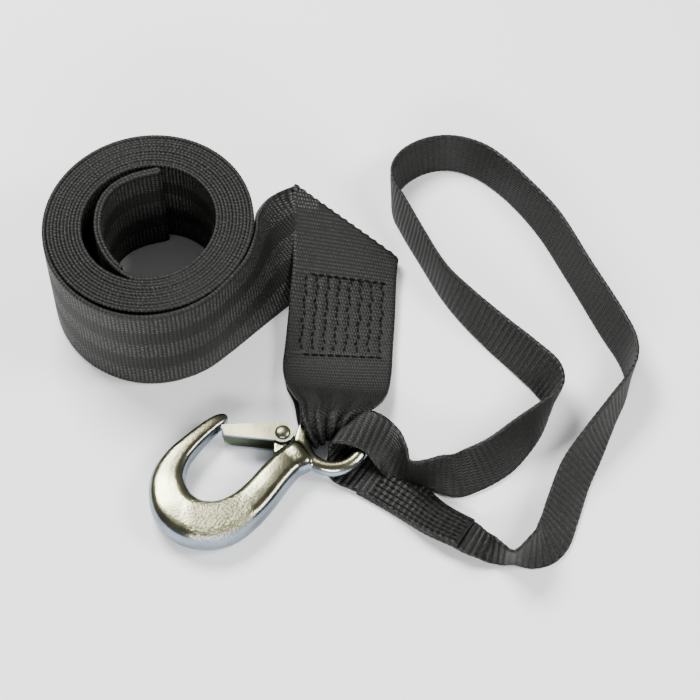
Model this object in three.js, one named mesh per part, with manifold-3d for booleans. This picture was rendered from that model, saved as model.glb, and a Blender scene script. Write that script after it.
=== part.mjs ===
// Winch strap: 50 mm webbing wound into a coil that stands on edge, with a folded lead,
// a sewn loop gathered through the eye of a snap hook, and a narrow hand strap in the same eye.
// Millimetres, +Z up. The coil's axis is the working origin, and the floor is at z = 0.

import * as THREE from 'three';
import { mergeVertices } from 'three/addons/utils/BufferGeometryUtils.js';
import Module from 'manifold-3d';

const wasm = await Module();
wasm.setup();

// Main webbing
const webWidth = 50;
const webThickness = 1.6;
const web = { width: webWidth, thickness: webThickness };
const lapGap = 0.05;

// Coil: wound by hand, so it is slightly narrower from side to side than from front to back
const boreRadius = 31.3;
const turns = 12;
const turnPitch = webThickness + lapGap;
const coilRadius = boreRadius + turns * turnPitch;
const coilSideShare = 0.953;
const coilDepthShare = 1.047;
const grooveWidth = 0.5;
const grooveDepth = 0.7;
const coilSegments = 48;

// Hand strap
const handWidth = 20;
const handThickness = 1.5;
const handLapDepth = 0.5;
const hand = { width: handWidth, thickness: handThickness };

// Hook, lying on its side, and its eye ring
const hookMid = 7;
const eyeX = 84;
const eyeY = -92.8;
const eyeRadius = 13;
const eyeWireRadius = 3.5;

// Latch of folded sheet, its rivet and its spring
const pivotX = -22.5;
const pivotY = 3.6;
const clearance = 0.3;
const rivetRadius = 2;
const rivetHeadRadius = 3.6;
const rivetHeadHeight = 1;
const lugThickness = 5;
const lugRadius = 4.4;
const shoulderHalf = 3.6;
const springThickness = 1.2;
const springWall = 1.1;
const springLegLength = 10;
const latchSheet = 1.2;
const latchEndRadius = 5;
const latchReach = 27.5;
const latchTilt = 178;

const webMaterial = new THREE.MeshStandardMaterial({ color: 0x1b1b19, roughness: 0.62, metalness: 0 });
const handMaterial = new THREE.MeshStandardMaterial({ color: 0x1d1d1b, roughness: 0.7, metalness: 0 });
const zincMaterial = new THREE.MeshStandardMaterial({ color: 0xb9b9a2, roughness: 0.3, metalness: 0.95 });
const rivetMaterial = new THREE.MeshStandardMaterial({ color: 0xc4c4b4, roughness: 0.35, metalness: 0.9 });

// Joining and cutting of closed shapes

function toSolid(geometry) {
  const bare = geometry.clone();
  bare.deleteAttribute('normal');
  bare.deleteAttribute('uv');
  const merged = mergeVertices(bare, 1e-4);
  return new wasm.Manifold(new wasm.Mesh({
    numProp: 3,
    vertProperties: new Float32Array(merged.attributes.position.array),
    triVerts: new Uint32Array(merged.index.array),
  }));
}

function toGeometry(solid) {
  const mesh = solid.getMesh();
  const geometry = new THREE.BufferGeometry();
  geometry.setAttribute('position', new THREE.BufferAttribute(new Float32Array(mesh.vertProperties), 3));
  geometry.setIndex(new THREE.BufferAttribute(new Uint32Array(mesh.triVerts), 1));
  geometry.computeVertexNormals();
  return geometry;
}

function joined(geometries) {
  return geometries.map(toSolid).reduce((all, next) => all.add(next));
}

function makeMesh(name, geometry, material) {
  const mesh = new THREE.Mesh(geometry, material);
  mesh.name = name;
  return mesh;
}

// A station of a strip: its middle point, the unit vector from its low edge to its high edge, the
// shares of the full width and thickness that it has there, and how far the middle of its width
// bows to the left of its heading. Lean is 0 where the strip lies flat with its high edge to the
// right of its heading, 90 where it stands upright and 180 where it lies flat to the left.

function acrossVector(heading, lean) {
  const h = THREE.MathUtils.degToRad(heading);
  const l = THREE.MathUtils.degToRad(lean);
  return new THREE.Vector3(Math.cos(l) * Math.sin(h), -Math.cos(l) * Math.cos(h), Math.sin(l));
}

function midStation(x, y, z, heading, lean, widthShare = 1, thickShare = 1, sag = 0) {
  return { middle: new THREE.Vector3(x, y, z), across: acrossVector(heading, lean), widthShare, thickShare, sag };
}

// A station given by its low edge, which stands that lift above the floor
function edgeStation(size, x, y, lift, heading, lean, widthShare = 1, sag = 0) {
  const across = acrossVector(heading, lean);
  const rise = lift + (size.thickness / 2) * Math.abs(Math.cos(THREE.MathUtils.degToRad(lean)));
  const middle = new THREE.Vector3(x, y, rise).addScaledVector(across, (size.width * widthShare) / 2);
  return { middle, across, widthShare, thickShare: 1, sag };
}

// A strip of webbing: a box whose length is carried through the stations
function strip(stations, size, stepsEach, widthSteps = 1) {
  const steps = (stations.length - 1) * stepsEach;
  const middles = new THREE.CatmullRomCurve3(stations.map((s) => s.middle), false, 'centripetal');
  const acrosses = new THREE.CatmullRomCurve3(stations.map((s) => s.across), false, 'catmullrom', 0.5);
  const shares = new THREE.CatmullRomCurve3(
    stations.map((s) => new THREE.Vector3(s.widthShare, s.thickShare, s.sag)), false, 'catmullrom', 0.5);
  const geometry = new THREE.BoxGeometry(1, 1, 1, steps, widthSteps, 1);
  const position = geometry.attributes.position;
  const vertex = new THREE.Vector3();
  for (let i = 0; i < position.count; i += 1) {
    vertex.fromBufferAttribute(position, i);
    const t = THREE.MathUtils.clamp(vertex.x + 0.5, 0, 1);
    const middle = middles.getPoint(t);
    const across = acrosses.getPoint(t).normalize();
    const share = shares.getPoint(t);
    const near = middles.getPoint(Math.max(t - 1e-3, 0));
    const far = middles.getPoint(Math.min(t + 1e-3, 1));
    const normal = far.sub(near).cross(across).normalize();
    const sag = share.z * (1 - 4 * vertex.y * vertex.y);
    middle.addScaledVector(across, vertex.y * size.width * share.x);
    middle.addScaledVector(normal, vertex.z * size.thickness * share.y - sag);
    position.setXYZ(i, middle.x, middle.y, middle.z);
  }
  return geometry;
}

// Coil: a turned ring whose ends are grooved between the turns

function coilGeometry() {
  const ends = [];
  for (let turn = 0; turn < turns; turn += 1) {
    const inner = boreRadius + turn * turnPitch;
    const outer = inner + turnPitch;
    if (turn > 0) ends.push([inner, grooveDepth]);
    ends.push([turn > 0 ? inner + grooveWidth / 2 : inner, 0]);
    ends.push([turn < turns - 1 ? outer - grooveWidth / 2 : outer, 0]);
  }
  const bottom = ends.map(([radius, depth]) => new THREE.Vector2(radius, depth));
  const top = ends.map(([radius, depth]) => new THREE.Vector2(radius, webWidth - depth)).reverse();
  const profile = [...bottom, ...top, bottom[0].clone()];
  const ring = new THREE.LatheGeometry(profile, coilSegments);
  ring.rotateX(Math.PI / 2);
  ring.scale(coilSideShare, coilDepthShare, 1);
  return ring;
}

function onCoil(angle, radius) {
  const a = THREE.MathUtils.degToRad(angle);
  return [radius * coilSideShare * Math.cos(a), radius * coilDepthShare * Math.sin(a)];
}

// Winch end: the webbing doubled back on itself, lying against the inside of the coil
function winchEndGeometry() {
  const doubled = { width: webWidth, thickness: 2 * webThickness };
  const start = onCoil(-102, boreRadius + webThickness);
  const nose = onCoil(86, boreRadius - webThickness);
  const upright = (x, y, heading) => edgeStation(doubled, x, y, 0, heading, 90);
  const stations = [
    upright(start[0], start[1], 160),
    upright(-16, -22, 125),
    upright(-22.5, -8, 100),
    upright(-23.8, 4, 90),
    upright(-22, 14, 72),
    upright(-17.5, 21.5, 48),
    upright(-10, 27, 25),
    upright(nose[0], nose[1], 0),
  ];
  return strip(stations, doubled, 3);
}

// Lead: leaves the outer turn upright, leans over and reaches the diagonal fold
const foldX = 88.6;
const foldY = 27.2;
const foldRise = 15.2;
const foldHeading = 62.4;
const foldLean = 156;
const foldShare = 1.2;
const foldRadius = 2;

function leadGeometry() {
  const inside = coilRadius - webThickness;
  const first = onCoil(-86, inside);
  const second = onCoil(-66, inside);
  const third = onCoil(-48, inside);
  const upright = (at, heading) => edgeStation(web, at[0], at[1], 0, heading, 90);
  const stations = [
    upright(first, 4),
    upright(second, 26),
    upright(third, 42),
    edgeStation(web, 51, -21, 0, 87, 97, 1, 1),
    edgeStation(web, 64, -8.5, 0, 74, 109, 1, 3),
    edgeStation(web, 75, 1, 0, 67, 125, 1, 3),
    edgeStation(web, 88, 7.5, 0.2, 61, 139.5, 1.05, 2),
    edgeStation(web, 101, 11, 1, 60, 150, 1.13, 1),
    midStation(foldX, foldY, foldRise, foldHeading, foldLean, foldShare),
  ];
  return strip(stations, web, 3, 4);
}

function foldGeometry() {
  const along = acrossVector(foldHeading, foldLean);
  const roll = new THREE.CylinderGeometry(foldRadius, foldRadius, webWidth * foldShare, 12);
  roll.applyQuaternion(new THREE.Quaternion().setFromUnitVectors(new THREE.Vector3(0, 1, 0), along));
  roll.translate(foldX, foldY, foldRise + webThickness / 2 + 0.3);
  return roll;
}

// Sewn end: from the fold over the eye's wire, through the eye and back underneath
const bundleAngle = 121;
const bundleShare = 0.24;

function eyePoint(out, rise, angle = bundleAngle) {
  const a = THREE.MathUtils.degToRad(angle);
  return [eyeX + out * Math.cos(a), eyeY + out * Math.sin(a), hookMid + rise];
}

function sewnTopGeometry() {
  const inward = bundleAngle + 180;
  const topRise = eyeWireRadius + clearance + webThickness + 0.2;
  const stations = [
    midStation(foldX, foldY, foldRise + webThickness + 0.6, foldHeading + 180, 180 - foldLean, foldShare),
    midStation(89.2, 16, 13.2, 260, 17, 1.06),
    midStation(88.8, 3, 9.6, 266, 12),
    midStation(88, -10, 7, 268, 7),
    midStation(87.2, -24, 4.6, 268, 3),
    midStation(86.2, -38, 3.4, 267, 1),
    midStation(85.4, -51, 3.8, 266, 0, 1),
    midStation(85.2, -62, 5.4, 262, 0, 0.92, 1.1),
    midStation(82.5, -70, 8.6, 255, 0, 0.66, 1.4),
    midStation(...eyePoint(eyeRadius + 4.5, topRise), inward - 2, 0, 0.4, 1.8),
    midStation(...eyePoint(eyeRadius, topRise + 0.7), inward, 0, 0.27, 2),
    midStation(...eyePoint(eyeRadius - 4.8, topRise - 1.3), inward, 0, 0.2, 2),
    midStation(...eyePoint(eyeRadius - 6.8, 0), inward, 0, 0.18, 2),
  ];
  return strip(stations, web, 4, 2);
}

function sewnUnderGeometry() {
  const inward = bundleAngle + 180;
  const low = webThickness / 2;
  const stations = [
    midStation(...eyePoint(eyeRadius - 6.8, 0.6), inward, 0, 0.18, 2),
    midStation(...eyePoint(eyeRadius - 5.4, -4.3), inward, 0, 0.2, 1.9),
    midStation(...eyePoint(eyeRadius - 0.5, low * 1.8 - hookMid), inward, 0, 0.26, 1.75),
    midStation(78.5, -73, low * 1.3, 255, 0, 0.5, 1.3),
    midStation(83.5, -62, low, 262, 0, 0.85),
    midStation(85.4, -51, 2.15, 266, 0, 0.98),
    midStation(86.2, -38, 1.85, 267, 1, 0.98),
    midStation(87.2, -24, 3.05, 268, 3, 0.98),
    midStation(88, -10, 5.45, 268, 7, 0.98),
    midStation(88.6, 0, 7.4, 266, 11, 0.98),
  ];
  return strip(stations, web, 3, 2);
}

// Hand strap: an open strip whose ends lap over each other beside the eye. The rows give the lap's
// middle line, heading, lean and width share, with its near edge a little off the floor at the tail.
const lapRows = [
  [99.3, -106, 0.8, -32, 180, 1],
  [116.4, -117.7, 0.8, -32, 181, 1],
  [128.5, -129.5, 2.9, -30, 192, 0.94],
  [141.2, -137.7, 4.1, -28.5, 198, 0.94],
];

function lapStations(layer) {
  return lapRows.map(([x, y, z, heading, lean, share]) => {
    const station = midStation(x, y, z, heading, lean, share);
    const along = acrossVector(heading, 180).cross(acrossVector(heading, 90));
    const up = along.cross(station.across).normalize();
    station.middle.addScaledVector(up, layer * (handThickness - handLapDepth));
    return station;
  });
}

function handLoopGeometry() {
  const e = (x, y, heading, lean) => edgeStation(hand, x, y, 0, heading, lean);
  const stations = [
    ...lapStations(0),
    midStation(148.5, -143.5, 5.6, -25, 165, 0.6),
    midStation(154, -148, 7.6, -15, 104, 0.7),
    e(160.5, -149.5, -8, 76),
    e(171, -151.5, 10, 112),
    e(179, -149, 35, 130),
    e(185, -142.5, 55, 136),
    e(190, -130, 67, 136),
    e(196, -112, 68, 130),
    e(203, -96, 67, 118),
    e(211, -77, 67, 102),
    e(216.5, -64, 72, 92),
    e(218, -54, 92, 82),
    e(216, -44, 106, 74),
    e(209, -28, 113, 68),
    e(196, 3, 114, 68),
    e(184, 31, 119, 68),
    e(172.5, 50, 125, 72),
    e(164, 61, 134, 73),
    e(155, 69.5, 148, 72),
    e(146, 74, 166, 72),
    e(137, 75, 184, 72),
    e(128, 72.5, 206, 73),
    e(120, 67, 224, 76),
    e(114.5, 59.5, 245, 82),
    e(112.4, 52, 266, 90),
    e(113, 44, 281, 97),
    e(116.5, 35, 291, 98),
    e(124, 18, 294, 98),
    e(134, -4, 297, 100),
    e(143, -19, 303, 108),
    e(156, -37, 306, 120),
    e(167, -50, 309, 126),
    e(176, -61, 303, 126),
    e(181, -70, 272, 104),
    e(178.5, -80, 248, 82),
    e(172, -92, 236, 62),
    e(162, -104.5, 225, 45),
    e(149, -113, 207, 38),
    e(138, -116.5, 188, 50),
    e(127, -112.5, 160, 72),
  ];
  return strip(stations, hand, 3, 2);
}

function handEyeGeometry() {
  const over = hookMid + eyeWireRadius + clearance + handThickness;
  const stations = [
    edgeStation(hand, 128.5, -113, 0, 163, 72),
    edgeStation(hand, 124, -111.5, 0, 160, 84),
    edgeStation(hand, 117.5, -108.5, 0.8, 153, 92, 0.9),
    midStation(112.6, -103.2, 8, 140, 54, 0.9),
    midStation(107.5, -96, 10, 150, 18),
    midStation(101, -90, over, 158, 5),
    midStation(94, -87.5, over + 0.3, 158, 0),
    midStation(88.4, -88.4, over, 152, 0, 0.85),
    midStation(85.9, -90.6, hookMid + 3.6, 150, 0, 0.66),
    midStation(85.2, -93.4, hookMid - 0.6, 150, 0, 0.6),
    midStation(85.6, -97.4, 2.6, 145, 0, 0.8),
    midStation(89.6, -100.4, 1.8, -36, 180, 1),
    ...lapStations(1),
  ];
  return strip(stations, hand, 3, 2);
}

// Hook body: a forged bar of changing section, in the eye's own frame
const hookPath = [
  [-48.2, 14.6, 1.6, 1.8],
  [-50, 12.9, 3, 2.9],
  [-53.2, 10.2, 3.6, 3.5],
  [-57.2, 6.2, 4, 4],
  [-62.6, 0, 4.6, 4.6],
  [-68.6, -8.2, 5.8, 5.2],
  [-72, -17.6, 7.4, 6],
  [-71.6, -25.6, 8.8, 6.6],
  [-68.2, -34.2, 10, 7],
  [-61.2, -40.2, 10.6, 7],
  [-53.8, -41.8, 10.6, 7],
  [-46.2, -40.2, 10, 7],
  [-38.2, -34.4, 8.8, 6.8],
  [-31.4, -26.4, 8, 6.4],
  [-24.8, -16.8, 7.4, 6],
  [-19.4, -10.4, 7, 5.4],
  [-12.4, -5.4, 6, 4.2],
];

function hookBarGeometry() {
  const steps = (hookPath.length - 1) * 3;
  const middles = new THREE.CatmullRomCurve3(
    hookPath.map(([x, y]) => new THREE.Vector3(x, y, 0)), false, 'centripetal');
  const halves = new THREE.CatmullRomCurve3(
    hookPath.map(([, , wide, thick]) => new THREE.Vector3(wide, thick, 0)), false, 'catmullrom', 0.5);
  const geometry = new THREE.CylinderGeometry(1, 1, 1, 16, steps);
  const position = geometry.attributes.position;
  const vertex = new THREE.Vector3();
  for (let i = 0; i < position.count; i += 1) {
    vertex.fromBufferAttribute(position, i);
    const t = THREE.MathUtils.clamp(0.5 - vertex.y, 0, 1);
    const middle = middles.getPoint(t);
    const tangent = middles.getTangent(t);
    const half = halves.getPoint(t);
    const side = new THREE.Vector3(-tangent.y, tangent.x, 0);
    middle.addScaledVector(side, vertex.x * half.x);
    middle.z += vertex.z * half.y;
    position.setXYZ(i, middle.x, middle.y, middle.z);
  }
  return geometry;
}

function plate(shape, thickness, bottom) {
  const geometry = new THREE.ExtrudeGeometry(shape, { depth: thickness, bevelEnabled: false, curveSegments: 10 });
  geometry.translate(0, 0, bottom);
  return geometry;
}

function disc(radius, height, bottom, segments = 24) {
  const geometry = new THREE.CylinderGeometry(radius, radius, height, segments);
  geometry.rotateX(Math.PI / 2);
  geometry.translate(0, 0, bottom + height / 2);
  return geometry;
}

function lugGeometry() {
  const shape = new THREE.Shape();
  shape.absarc(pivotX, pivotY, lugRadius, 0, Math.PI, false);
  shape.lineTo(pivotX - lugRadius + 0.6, pivotY - 11);
  shape.lineTo(pivotX + lugRadius + 2.2, pivotY - 11);
  return plate(shape, lugThickness, -lugThickness / 2);
}

// Shoulder: a pointed spur of the forging that stands between the latch and the eye
function shoulderGeometry() {
  const shape = new THREE.Shape();
  shape.moveTo(-14.6, 10.4);
  shape.lineTo(-16.6, 4.6);
  shape.lineTo(-17.2, 0.4);
  shape.lineTo(-19, -2.6);
  shape.lineTo(-17.2, -9);
  shape.lineTo(-11.4, -7.6);
  shape.lineTo(-12.4, 0);
  shape.lineTo(-13.6, 6);
  return plate(shape, 2 * shoulderHalf, -shoulderHalf);
}

function hookGeometry() {
  const eye = new THREE.TorusGeometry(eyeRadius, eyeWireRadius, 12, 36);
  const body = joined([hookBarGeometry(), eye, lugGeometry(), shoulderGeometry()]);
  const hole = disc(rivetRadius + clearance, 4 * lugThickness, -2 * lugThickness, 20);
  hole.translate(pivotX, pivotY, 0);
  return toGeometry(body.subtract(toSolid(hole)));
}

// Latch, in the pivot's own frame with its length along +X and its web on the side of -Y
const springGap = springThickness + 2 * clearance;
const latchTop = lugThickness / 2 + clearance;
const latchBottom = -(lugThickness / 2 + springGap);
const latchWebOffset = lugRadius + clearance + latchSheet;
const latchTipTop = 3.2;
const latchTipBottom = 2;

function latchGeometry() {
  const cheek = new THREE.Shape();
  cheek.moveTo(0, -latchWebOffset);
  cheek.lineTo(latchReach, -latchTipTop);
  cheek.lineTo(latchReach - 1.6, latchTipBottom);
  cheek.lineTo(3, latchEndRadius * 0.8);
  cheek.absarc(0, 0, latchEndRadius, Math.PI / 4, Math.PI * 1.2, false);
  const wall = new THREE.Shape();
  const slope = (latchWebOffset - latchTipTop) / latchReach;
  const wallStart = lugRadius - 1;
  wall.moveTo(wallStart, -latchWebOffset + wallStart * slope);
  wall.lineTo(latchReach, -latchTipTop);
  wall.lineTo(latchReach, -latchTipTop + latchSheet);
  wall.lineTo(wallStart, -latchWebOffset + latchSheet + wallStart * slope);
  const height = latchTop - latchBottom + 2 * latchSheet;
  const body = joined([
    plate(cheek, latchSheet, latchTop),
    plate(cheek, latchSheet, latchBottom - latchSheet),
    plate(wall, height, latchBottom - latchSheet),
  ]);
  const hole = disc(rivetRadius + clearance, 2 * height, -height, 20);
  return toGeometry(body.subtract(toSolid(hole)));
}

function rivetGeometry() {
  const top = latchTop + latchSheet + clearance;
  const bottom = latchBottom - latchSheet - clearance;
  const profile = [
    new THREE.Vector2(0, bottom - rivetHeadHeight),
    new THREE.Vector2(rivetHeadRadius * 0.7, bottom - rivetHeadHeight),
    new THREE.Vector2(rivetHeadRadius, bottom - rivetHeadHeight * 0.4),
    new THREE.Vector2(rivetHeadRadius, bottom),
    new THREE.Vector2(rivetRadius, bottom),
    new THREE.Vector2(rivetRadius, top),
    new THREE.Vector2(rivetHeadRadius, top),
    new THREE.Vector2(rivetHeadRadius, top + rivetHeadHeight * 0.4),
    new THREE.Vector2(rivetHeadRadius * 0.7, top + rivetHeadHeight),
    new THREE.Vector2(0, top + rivetHeadHeight),
  ];
  const rivet = new THREE.LatheGeometry(profile, 24);
  rivet.rotateX(Math.PI / 2);
  return rivet;
}

function springGeometry() {
  const inner = rivetRadius + clearance;
  const bottom = -(lugThickness / 2 + clearance + springThickness);
  const ring = new THREE.Shape();
  ring.absarc(0, 0, inner + springWall, 0, Math.PI * 2, false);
  const bore = new THREE.Path();
  bore.absarc(0, 0, inner, 0, Math.PI * 2, true);
  ring.holes.push(bore);
  const leg = new THREE.BoxGeometry(springLegLength, springWall, springThickness);
  leg.translate(springLegLength / 2, -(inner + springWall / 2), bottom + springThickness / 2);
  return toGeometry(joined([plate(ring, springThickness, bottom), leg]));
}

const strap = new THREE.Group();
const webbing = joined([
  coilGeometry(),
  winchEndGeometry(),
  leadGeometry(),
  foldGeometry(),
  sewnTopGeometry(),
  sewnUnderGeometry(),
]);
strap.add(makeMesh('winch_webbing', toGeometry(webbing), webMaterial));
strap.add(makeMesh('hand_strap', toGeometry(joined([handLoopGeometry(), handEyeGeometry()])), handMaterial));

const hook = new THREE.Group();
hook.position.set(eyeX, eyeY, hookMid);
hook.add(makeMesh('hook', hookGeometry(), zincMaterial));
const gate = new THREE.Group();
gate.position.set(pivotX, pivotY, 0);
gate.rotation.z = THREE.MathUtils.degToRad(latchTilt);
gate.add(makeMesh('latch', latchGeometry(), zincMaterial));
gate.add(makeMesh('latch_rivet', rivetGeometry(), rivetMaterial));
gate.add(makeMesh('latch_spring', springGeometry(), rivetMaterial));
hook.add(gate);
strap.add(hook);

// The finished part stands on z = 0, centred on the origin
const part = new THREE.Group();
const extent = new THREE.Box3().setFromObject(strap);
const centre = extent.getCenter(new THREE.Vector3());
strap.position.set(-centre.x, -centre.y, -extent.min.z);
part.add(strap);

export default part;
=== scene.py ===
import math
from types import SimpleNamespace

import bmesh
import bpy
import numpy as np
from bpy.props import FloatProperty, FloatVectorProperty, PointerProperty
from mathutils import Matrix, Vector


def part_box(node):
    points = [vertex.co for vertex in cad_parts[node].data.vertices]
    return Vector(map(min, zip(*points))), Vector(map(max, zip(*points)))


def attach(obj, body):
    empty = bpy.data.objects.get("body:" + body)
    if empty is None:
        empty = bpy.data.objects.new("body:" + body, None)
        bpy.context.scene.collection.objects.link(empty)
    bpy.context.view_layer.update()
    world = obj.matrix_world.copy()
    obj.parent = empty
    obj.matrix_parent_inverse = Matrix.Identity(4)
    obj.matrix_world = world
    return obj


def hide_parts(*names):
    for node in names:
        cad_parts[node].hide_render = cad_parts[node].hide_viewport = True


bl_info = {
    "name": "Winch strap",
    "version": (1, 0, 0),
    "blender": (4, 5, 0),
    "location": "3D View > Sidebar > Winch strap",
    "description": "Boat trailer winch strap: coiled webbing, sewn end, snap hook and hand strap",
    "category": "Object",
}

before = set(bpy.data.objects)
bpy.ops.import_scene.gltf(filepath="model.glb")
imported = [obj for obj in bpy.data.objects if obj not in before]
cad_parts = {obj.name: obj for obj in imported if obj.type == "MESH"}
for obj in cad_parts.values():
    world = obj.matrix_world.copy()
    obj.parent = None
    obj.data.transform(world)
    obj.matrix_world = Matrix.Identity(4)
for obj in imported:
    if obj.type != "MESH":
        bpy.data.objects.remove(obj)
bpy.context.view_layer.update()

# The stations below are millimetres from the coil's axis at floor level. The rivet and the hook,
# whose places are known in both frames, say where that point is.
RIVET_AT = (61.5, -89.2)
HOOK_MID = 7.0
rivet_low, rivet_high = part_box("latch_rivet")
hook_low, hook_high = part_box("hook")
AXIS = np.array([
    (rivet_low.x + rivet_high.x) * 500 - RIVET_AT[0],
    (rivet_low.y + rivet_high.y) * 500 - RIVET_AT[1],
    (hook_low.z + hook_high.z) * 500 - HOOK_MID,
])
EYE = (84.0, -92.8, HOOK_MID)


def placed(points):
    """Millimetres from the coil's axis to metres in the row frame."""
    return (np.asarray(points, float) + AXIS) * 0.001


# Sizes and colours

class StrapSizes(bpy.types.PropertyGroup):
    web_width: FloatProperty(
        name="Webbing width", description="Width of the main webbing",
        default=0.05, min=0.02, max=0.08, precision=5, unit="LENGTH")
    web_thickness: FloatProperty(
        name="Webbing thickness", description="Thickness of the main webbing",
        default=0.0015, min=0.0008, max=0.003, precision=5, unit="LENGTH")
    web_rib: FloatProperty(
        name="Webbing rib", description="Pitch of the ribs of the main webbing",
        default=0.0019, min=0.001, max=0.004, precision=5, unit="LENGTH")
    web_rib_height: FloatProperty(
        name="Webbing rib height", description="Height of the ribs of the main webbing",
        default=0.00024, min=0, max=0.0005, precision=5, unit="LENGTH")
    bore_radius: FloatProperty(
        name="Bore radius", description="Radius of the innermost turn's middle",
        default=0.0321, min=0.02, max=0.04, precision=5, unit="LENGTH")
    turn_pitch: FloatProperty(
        name="Turn pitch", description="Distance from one turn of the coil to the next",
        default=0.00165, min=0.001, max=0.003, precision=5, unit="LENGTH")
    hand_width: FloatProperty(
        name="Hand strap width", description="Width of the hand strap",
        default=0.02, min=0.01, max=0.04, precision=5, unit="LENGTH")
    hand_thickness: FloatProperty(
        name="Hand strap thickness", description="Thickness of the hand strap",
        default=0.0013, min=0.0008, max=0.003, precision=5, unit="LENGTH")
    hand_rib: FloatProperty(
        name="Hand strap rib", description="Pitch of the hand strap's ribs",
        default=0.003, min=0.001, max=0.005, precision=5, unit="LENGTH")
    hand_rib_height: FloatProperty(
        name="Hand strap rib height", description="Height of the hand strap's ribs",
        default=0.00026, min=0, max=0.0005, precision=5, unit="LENGTH")
    stitch_length: FloatProperty(
        name="Stitch length", description="Length of one sewn stitch",
        default=0.0031, min=0.001, max=0.005, precision=5, unit="LENGTH")
    stitch_thickness: FloatProperty(
        name="Thread thickness", description="Thickness of the sewing thread",
        default=0.001, min=0.0003, max=0.002, precision=5, unit="LENGTH")
    eye_radius: FloatProperty(
        name="Eye radius", description="Radius of the eye ring's middle line",
        default=0.013, min=0.008, max=0.02, precision=5, unit="LENGTH")
    eye_wire: FloatProperty(
        name="Eye wire", description="Radius of the eye ring's wire",
        default=0.0035, min=0.002, max=0.006, precision=5, unit="LENGTH")


class StrapColours(bpy.types.PropertyGroup):
    web_dark: FloatVectorProperty(
        name="Webbing", description="Colour of the plain webbing", subtype="COLOR", size=4,
        default=(0.0035, 0.0035, 0.0028, 1), min=0, max=1)
    # Painted sheen: this colour is the stripes' real weave brightened with painted sheen, and also the
    # painted highlight along the webbing's edges.
    web_bright: FloatVectorProperty(
        name="Webbing stripes", description="Colour of the speckled stripes", subtype="COLOR", size=4,
        default=(0.075, 0.075, 0.066, 1), min=0, max=1)
    thread: FloatVectorProperty(
        name="Thread", description="Colour of the sewing thread", subtype="COLOR", size=4,
        default=(0.0012, 0.0012, 0.0012, 1), min=0, max=1)
    # Painted reflection: zinc_top colours the faces that point up and zinc_side those that point sideways,
    # so both are the plating's real tint mixed with painted reflection.
    zinc_top: FloatVectorProperty(
        name="Zinc, yellow", description="Colour of the zinc plating's yellowish faces", subtype="COLOR",
        size=4, default=(0.30, 0.295, 0.185, 1), min=0, max=1)
    zinc_side: FloatVectorProperty(
        name="Zinc, blue", description="Colour of the zinc plating's bluish sides", subtype="COLOR", size=4,
        default=(0.29, 0.35, 0.41, 1), min=0, max=1)
    floor: FloatVectorProperty(
        name="Floor", description="Colour of the floor", subtype="COLOR", size=4,
        default=(0.92, 0.92, 0.92, 1), min=0, max=1)


def setting_names(settings):
    return [name for name in settings.bl_rna.properties.keys() if name not in ("rna_type", "name")]


def in_millimetres(settings):
    """The sizes as plain numbers of millimetres, which the stations are given in."""
    sizes = {name: round(getattr(settings, name) * 1000, 4) for name in setting_names(settings)}
    return SimpleNamespace(**sizes)


# Small tools for the materials

def new_material(name):
    material = bpy.data.materials.new(name)
    material.use_nodes = True
    tree = material.node_tree
    shader = tree.nodes["Principled BSDF"]
    return material, tree, shader


def feed(tree, socket, value):
    """Joins a socket to another, or sets a plain value on it."""
    if isinstance(value, bpy.types.NodeSocket):
        tree.links.new(value, socket)
    else:
        socket.default_value = value


def calc(tree, operation, *values):
    """One Math node, and its result."""
    node = tree.nodes.new("ShaderNodeMath")
    node.operation = operation
    for socket, value in zip(node.inputs, values):
        feed(tree, socket, value)
    return node.outputs[0]


def between(tree, value, low, high, out_low=0.0, out_high=1.0):
    """A value carried from one range to another, smoothly and held at the ends."""
    node = tree.nodes.new("ShaderNodeMapRange")
    node.interpolation_type = "SMOOTHSTEP"
    for socket, given in zip(node.inputs, (value, low, high, out_low, out_high)):
        feed(tree, socket, given)
    return node.outputs[0]


def mixed(tree, share, first, second):
    node = tree.nodes.new("ShaderNodeMix")
    node.data_type = "RGBA"
    feed(tree, node.inputs["Factor"], share)
    feed(tree, node.inputs[6], first)
    feed(tree, node.inputs[7], second)
    return node.outputs[2]


def noise(tree, vector, scale, detail=3.0):
    node = tree.nodes.new("ShaderNodeTexNoise")
    feed(tree, node.inputs["Vector"], vector)
    node.inputs["Scale"].default_value = scale
    node.inputs["Detail"].default_value = detail
    return node.outputs["Fac"]


def bumped(tree, shader, height, strength, distance):
    node = tree.nodes.new("ShaderNodeBump")
    node.inputs["Strength"].default_value = strength
    node.inputs["Distance"].default_value = distance
    feed(tree, node.inputs["Height"], height)
    tree.links.new(node.outputs["Normal"], shader.inputs["Normal"])


# Materials

YARN_PITCH = 1.25
STRIPE_MIDDLE = 7
STRIPE_HALF_PITCH = 9


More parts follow.
